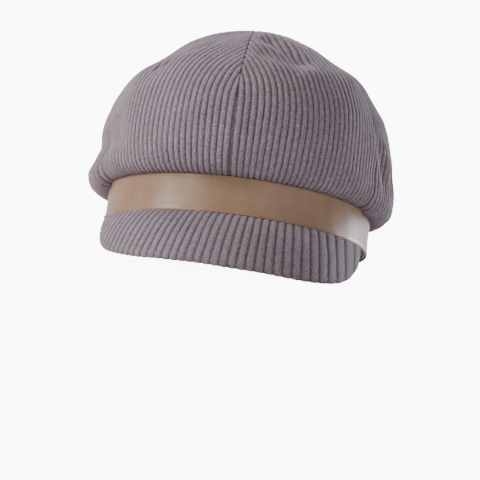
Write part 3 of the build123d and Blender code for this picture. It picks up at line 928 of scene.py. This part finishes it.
def area_light(name, power, size, position, colour):
    """Soft light that points at the cap."""
    data = bpy.data.lights.new(name, "AREA")
    data.energy, data.size, data.color = power, size, colour
    light = bpy.data.objects.new(name, data)
    light.location = position
    light.rotation_mode = "QUATERNION"
    light.rotation_quaternion = (Vector(LIGHT_TARGET) - Vector(position)).to_track_quat("-Z", "Y")
    bpy.context.scene.collection.objects.link(light)
    light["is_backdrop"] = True


def build_floor(level):
    """Pale floor that runs up into a pale backdrop."""
    points = [(x, y, level + z) for x in (-FLOOR_SIDE, FLOOR_SIDE) for y, z in FLOOR_CURVE]
    count = len(FLOOR_CURVE)
    faces = [(count + i, count + i + 1, i + 1, i) for i in range(count - 1)]
    mesh = bpy.data.meshes.new("floor")
    mesh.from_pydata(points, [], faces)
    mesh.polygons.foreach_set("use_smooth", np.ones(len(faces), bool))
    nodes = Nodes("floor")
    paper = nodes.noise(nodes.place(), 6.0, 3.0, 0.5)
    nodes.set(Base_Color=nodes.ramp(paper, 0.3, 0.7, grey(0.84), grey(0.87)), Roughness=0.9)
    seen = nodes.add("ShaderNodeLightPath").outputs["Is Camera Ray"]
    nodes.set(Emission_Color=grey(1.0), Emission_Strength=nodes.maths("MULTIPLY", seen, BACKDROP))
    from_below = nodes.add("ShaderNodeNewGeometry").outputs["Backfacing"]
    clear = nodes.add("ShaderNodeBsdfTransparent").outputs["BSDF"]
    choice = nodes.add("ShaderNodeMixShader", {0: from_below, 1: nodes.shader.outputs["BSDF"], 2: clear})
    nodes.tree.links.new(choice.outputs[0], nodes.tree.nodes["Material Output"].inputs["Surface"])
    mesh.materials.append(nodes.material)
    obj = bpy.data.objects.new("floor", mesh)
    bpy.context.scene.collection.objects.link(obj)
    obj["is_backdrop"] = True


def build_world(strength):
    """Even light from all round, behind which the camera alone sees the backdrop."""
    world = bpy.data.worlds.new("studio")
    world.use_nodes = True
    background = world.node_tree.nodes["Background"]
    background.inputs["Color"].default_value = (1, 1, 1, 1)
    seen = world.node_tree.nodes.new("ShaderNodeLightPath").outputs["Is Camera Ray"]
    scale = world.node_tree.nodes.new("ShaderNodeMapRange")
    world.node_tree.links.new(seen, scale.inputs["Value"])
    scale.inputs["To Min"].default_value = strength
    scale.inputs["To Max"].default_value = BACKDROP
    world.node_tree.links.new(scale.outputs["Result"], background.inputs["Strength"])
    bpy.context.scene.world = world


def build_camera():
    """Camera a little to the wearer's left, looking slightly up at the band, and rolled."""
    azimuth, elevation, roll = (math.radians(turn) for turn in CAMERA_TURNS)
    right = Vector((math.cos(azimuth), math.sin(azimuth), 0))
    level = Vector((math.sin(azimuth), -math.cos(azimuth), 0))
    back = level * math.cos(elevation) + Vector((0, 0, math.sin(elevation)))
    up = back.cross(right)
    turned_right = right * math.cos(roll) + up * math.sin(roll)
    turned_up = up * math.cos(roll) - right * math.sin(roll)
    axes = Matrix((turned_right, turned_up, back)).transposed()
    data = bpy.data.cameras.new("camera")
    data.lens = data.sensor_width / CAMERA_FIELD
    data.shift_x, data.shift_y = CAMERA_SHIFT
    data.clip_start, data.clip_end = 0.05, 20
    camera = bpy.data.objects.new("camera", data)
    camera.matrix_world = Matrix.Translation(RIM_TURN @ back * CAMERA_DISTANCE) @ (RIM_TURN @ axes).to_4x4()
    bpy.context.scene.collection.objects.link(camera)
    bpy.context.scene.camera = camera


def build_crown(corduroy):
    """The six gores with their lining, and the button that holds them together on top."""
    satin = woven_material("satin_lining", (0.12, 0.095, 0.098, 1), (0.25, 0.205, 0.21, 1), 0.0005, 0.2, 0.45)
    for name, (first, last) in SEAMS.items():
        build_gore(name, first + SEAM_GAP, last - SEAM_GAP, corduroy)
        build_lining(name, first + LINING_SEAM_GAP, last - LINING_SEAM_GAP, satin)
    build_button(corduroy)


def build_band():
    """The leather strip outside, and the buckram, sweatband and label behind it."""
    leather = leather_material()
    dark, light = (0.11, 0.09, 0.085, 1), (0.24, 0.195, 0.185, 1)
    build_leather_band(leather)
    build_lap(leather)
    build_lap_stitches(thread_material("leather_thread", (0.13, 0.08, 0.055, 1)))
    build_interlining(board_material("interlining", (0.6, 0.58, 0.53, 1), (0.8, 0.78, 0.72, 1)))
    build_sweatband(woven_material("cotton_sweatband", dark, light, 0.0008, 0.2, 0.85))
    build_sweatband_stitches(thread_material("thread", (0.16, 0.13, 0.14, 1)))
    build_label()


def build_visor(corduroy):
    """The visor's two cloths and its board, built in place and attached to no body."""
    board = board_material("visor_board", (0.55, 0.52, 0.47, 1), (0.74, 0.71, 0.65, 1))
    for piece in (build_visor_cover(corduroy), build_visor_facing(corduroy), build_visor_board(board)):
        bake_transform(piece)


corduroy = corduroy_material()
build_crown(corduroy)
build_band()
build_visor(corduroy)
finish_hidden_parts()

build_floor(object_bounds()[0].z)
build_world(WORLD_LIGHT)
for light in LIGHTS:
    area_light(*light)
build_camera()
